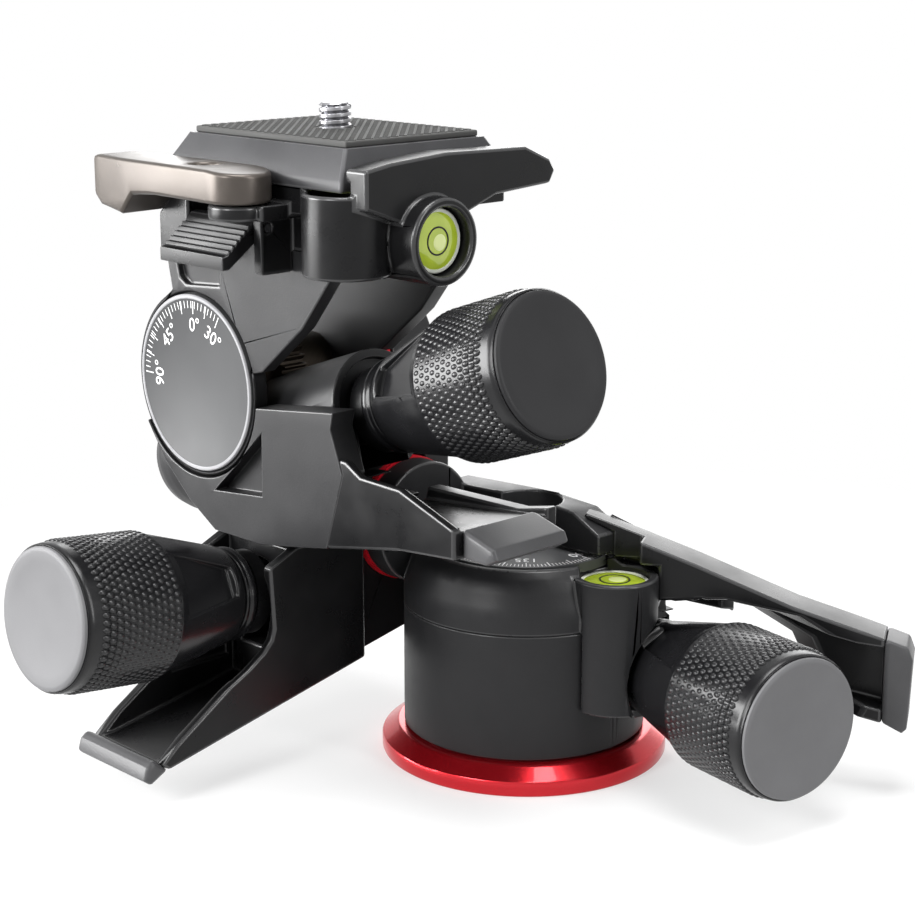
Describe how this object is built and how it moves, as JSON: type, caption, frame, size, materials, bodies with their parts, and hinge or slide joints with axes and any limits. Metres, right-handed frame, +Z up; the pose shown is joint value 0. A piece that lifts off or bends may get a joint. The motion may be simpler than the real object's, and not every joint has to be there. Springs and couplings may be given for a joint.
{
  "type": "geared tripod head",
  "caption": "Three-way tripod head with worm-geared pan and tilt knobs, squeeze arms, spirit levels, a big scale disc and a quick-release plate with lever and camera screw.",
  "frame": {"origin": "centre of the base ring underside, on the pan axis", "axes": "+Z up along the pan axis, +X along the side-tilt knob, -Y faces the big scale disc"},
  "size_m": [0.1548, 0.1369, 0.135],
  "materials": {
    "red_anodised": "red anodised, satin",
    "bare_metal": "machined",
    "bronze": "machined bronze",
    "black_casting": "fine satin texture",
    "dial_grey": "matte with white print",
    "black_polymer": "fine satin texture",
    "grip_tip": "smooth satin",
    "vial": "liquid level",
    "steel": "plain steel",
    "lever_metal": "gun-metal grey, satin",
    "knob_black": "satin with knurled band",
    "cap_grey": "light grey, matte",
    "cap_black": "dark, matte",
    "pad_rubber": "ribbed rubber"
  },
  "bodies": {
    "base": {"base_ring": "red_anodised", "base_hub": "bare_metal", "pan_wheel": "bronze", "pan_scale": "dial_grey"},
    "pan_housing": {"pan_drum": "black_casting", "pan_casing": "black_casting", "pan_arm": "black_polymer", "pan_arm_tip": "grip_tip", "pan_vial": "vial", "pan_pivot_pin": "steel", "front_axle": "steel", "front_wheel": "bronze", "front_ring": "red_anodised"},
    "tilt_body": {"tilt_casing": "black_casting", "hinge_casing": "black_casting", "rear_wall": "black_casting", "centre_arm": "black_polymer", "centre_arm_tip": "grip_tip", "left_arm": "black_polymer", "left_arm_tip": "grip_tip", "scale_disc": "dial_grey", "side_axle": "steel", "side_pivot_pin": "steel", "front_pivot_pin": "steel"},
    "top": {"receiver": "black_casting", "front_cheek": "black_casting", "rear_cheek": "black_casting", "side_wheel": "bronze", "top_ring": "red_anodised", "tube_vial": "vial", "face_vial": "vial", "camera_plate": "black_casting", "plate_pad": "pad_rubber", "lever_post": "steel", "catch_pin": "black_polymer"},
    "camera_screw": {"camera_screw": "steel"},
    "release_lever": {"release_lever": "lever_metal"},
    "safety_catch": {"safety_catch": "black_polymer"},
    "pan_carrier": {"pan_carrier": "black_polymer"},
    "front_carrier": {"front_carrier": "black_polymer"},
    "side_carrier": {"side_carrier": "black_polymer"},
    "pan_knob": {"pan_worm": "steel", "pan_knob": "knob_black", "pan_knob_cap": "cap_grey"},
    "front_knob": {"front_worm": "steel", "front_knob": "knob_black", "front_knob_cap": "cap_grey"},
    "side_knob": {"side_worm": "steel", "side_knob": "knob_black", "side_knob_cap": "cap_black"}
  },
  "joints": [
    {"name": "pan", "type": "hinge", "parent": "base", "child": "pan_housing", "pos_m": [0, 0, 0], "axis": [0, 0, 1], "continuous": true},
    {"name": "front_tilt", "type": "hinge", "parent": "pan_housing", "child": "tilt_body", "pos_m": [-0.035, -0.01, 0.0465], "axis": [-1, 0, 0], "range_deg": [-20, 90]},
    {"name": "side_tilt", "type": "hinge", "parent": "tilt_body", "child": "top", "pos_m": [-0.05, -0.0285, 0.0772], "axis": [0, 1, 0], "range_deg": [-90, 3]},
    {"name": "release_lever_swing", "type": "hinge", "parent": "top", "child": "release_lever", "pos_m": [-0.02, -0.0575, 0.121], "axis": [0, 0, 1], "range_deg": [0, 60]},
    {"name": "safety_catch_press", "type": "hinge", "parent": "top", "child": "safety_catch", "pos_m": [-0.03, -0.052, 0.113], "axis": [1, 0, 0], "range_deg": [0, 12], "stiffness_Nm_per_rad": 0.05},
    {"name": "camera_screw_turn", "type": "hinge", "parent": "top", "child": "camera_screw", "pos_m": [-0.0243, -0.0295, 0.1288], "axis": [0, 0, 1], "continuous": true},
    {"name": "pan_squeeze", "type": "hinge", "parent": "pan_housing", "child": "pan_carrier", "pos_m": [-0.00932, 0.01627, 0.022], "axis": [0, 0, 1], "range_deg": [0, 7], "stiffness_Nm_per_rad": 6, "springref_deg": -2.86},
    {"name": "pan_knob_turn", "type": "hinge", "parent": "pan_carrier", "child": "pan_knob", "pos_m": [0.0025, 0.01418, 0.022], "axis": [0.9848, -0.1736, 0], "continuous": true},
    {"name": "front_squeeze", "type": "hinge", "parent": "tilt_body", "child": "front_carrier", "pos_m": [-0.035, 0.00043, 0.03093], "axis": [1, 0, 0], "range_deg": [0, 7], "stiffness_Nm_per_rad": 6, "springref_deg": -2.86},
    {"name": "front_knob_turn", "type": "hinge", "parent": "front_carrier", "child": "front_knob", "pos_m": [-0.035, -0.0115, 0.03218], "axis": [0, -0.9945, 0.1045], "continuous": true},
    {"name": "side_squeeze", "type": "hinge", "parent": "tilt_body", "child": "side_carrier", "pos_m": [-0.05666, -0.0285, 0.05968], "axis": [0, 1, 0], "range_deg": [0, 7], "stiffness_Nm_per_rad": 6, "springref_deg": -2.86},
    {"name": "side_knob_turn", "type": "hinge", "parent": "side_carrier", "child": "side_knob", "pos_m": [-0.04531, -0.0285, 0.06359], "axis": [0.9455, 0, 0.3256], "continuous": true}
  ],
  "couplings": [
    {"joint": "pan_knob_turn", "follows": "pan", "ratio": -36},
    {"joint": "front_knob_turn", "follows": "front_tilt", "ratio": 36},
    {"joint": "side_knob_turn", "follows": "side_tilt", "ratio": 36}
  ]
}
